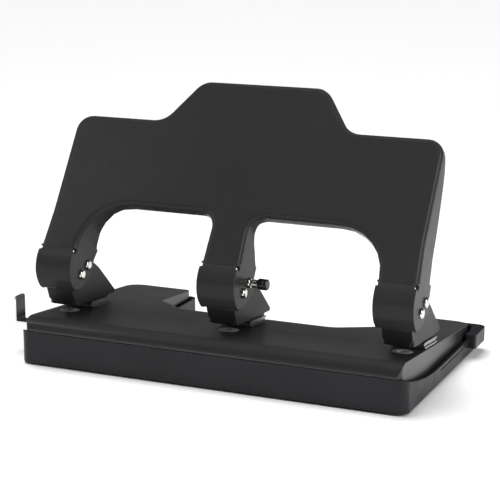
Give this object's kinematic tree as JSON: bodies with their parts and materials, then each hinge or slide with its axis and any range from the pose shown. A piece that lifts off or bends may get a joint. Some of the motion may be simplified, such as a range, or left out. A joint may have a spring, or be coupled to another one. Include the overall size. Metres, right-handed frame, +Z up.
{
  "type": "three hole punch",
  "caption": "Desktop lever paper punch: folded steel lever with two windows on coupled punch heads, sloping deck with a rear cut-out, chip tray and sliding edge guide.",
  "frame": {"origin": "middle of the bounding box in X and Y, underside of the rubber feet in Z", "axes": "+X to the right of the user, +Y away from the user, the way paper goes in, +Z up"},
  "size_m": [0.2676, 0.1436, 0.1648],
  "materials": {
    "tray_plastic": "fine satin texture, dark grey",
    "rubber": "matt black",
    "deck_paint": "semi-gloss black enamel",
    "lever_paint": "semi-gloss black enamel",
    "bracket_steel": "dark plated sheet steel",
    "nylon": "moulded grey nylon",
    "spacer_steel": "bright nickel plate",
    "die_steel": "polished",
    "rivet_steel": "bright nickel plate",
    "punch_steel": "ground tool steel",
    "spring_steel": "bright spring wire",
    "knob_plastic": "black",
    "chrome": "polished chrome plate"
  },
  "bodies": {
    "tray": {"chip_tray": "tray_plastic", "rubber_foot_front_left": "rubber", "rubber_foot_front_right": "rubber", "rubber_foot_rear_left": "rubber", "rubber_foot_rear_right": "rubber"},
    "frame": {"deck_frame": "deck_paint", "guide_channel": "nylon", "head_bracket_left": "bracket_steel", "punch_guide_left": "nylon", "throat_spacer_left": "spacer_steel", "die_left": "die_steel", "pivot_pin_left": "rivet_steel", "return_spring_left": "spring_steel", "head_bracket_middle": "bracket_steel", "punch_guide_middle": "nylon", "throat_spacer_middle": "spacer_steel", "die_middle": "die_steel", "pivot_pin_middle": "rivet_steel", "return_spring_middle": "spring_steel", "head_bracket_right": "bracket_steel", "punch_guide_right": "nylon", "throat_spacer_right": "spacer_steel", "die_right": "die_steel", "pivot_pin_right": "rivet_steel", "return_spring_right": "spring_steel"},
    "lever": {"lever": "lever_paint", "lock_spring": "spring_steel", "drive_pin_left": "rivet_steel", "drive_pin_middle": "rivet_steel", "drive_pin_right": "rivet_steel"},
    "lock_pin": {"lock_pin": "rivet_steel", "lock_knob": "knob_plastic"},
    "edge_guide": {"edge_guide": "chrome"},
    "punch_left": {"punch_left": "punch_steel"},
    "punch_middle": {"punch_middle": "punch_steel"},
    "punch_right": {"punch_right": "punch_steel"}
  },
  "joints": [
    {"name": "tray_hinge", "type": "hinge", "parent": "tray", "child": "frame", "pos_m": [-0.11405, -0.001, 0.0232], "axis": [0, -1, 0], "range_deg": [0, 24]},
    {"name": "lever_hinge", "type": "hinge", "parent": "frame", "child": "lever", "pos_m": [0.00595, -0.04178, 0.05119], "axis": [-1, 0, 0], "range_deg": [0, 55], "stiffness_Nm_per_rad": 0.3, "springref_deg": -51.57},
    {"name": "punch_slide_left", "type": "slide", "parent": "frame", "child": "punch_left", "axis": [0, -0.0941, -0.9956], "range_m": [0, 0.0084], "deforming": ["return_spring_left"]},
    {"name": "punch_slide_middle", "type": "slide", "parent": "frame", "child": "punch_middle", "axis": [0, -0.0941, -0.9956], "range_m": [0, 0.0084], "deforming": ["return_spring_middle"]},
    {"name": "punch_slide_right", "type": "slide", "parent": "frame", "child": "punch_right", "axis": [0, -0.0941, -0.9956], "range_m": [0, 0.0084], "deforming": ["return_spring_right"]},
    {"name": "lock_pin_slide", "type": "slide", "parent": "lever", "child": "lock_pin", "axis": [-1, 0, 0], "range_m": [0, 0.0024], "stiffness_N_per_m": 200, "springref_m": -0.003},
    {"name": "edge_guide_slide", "type": "slide", "parent": "frame", "child": "edge_guide", "axis": [-1, 0, 0], "range_m": [-0.014, 0.01]}
  ],
  "couplings": [
    {"joint": "punch_slide_left", "follows": "lever_hinge", "m_per_rad": 0.008665},
    {"joint": "punch_slide_middle", "follows": "lever_hinge", "m_per_rad": 0.008665},
    {"joint": "punch_slide_right", "follows": "lever_hinge", "m_per_rad": 0.008665}
  ]
}
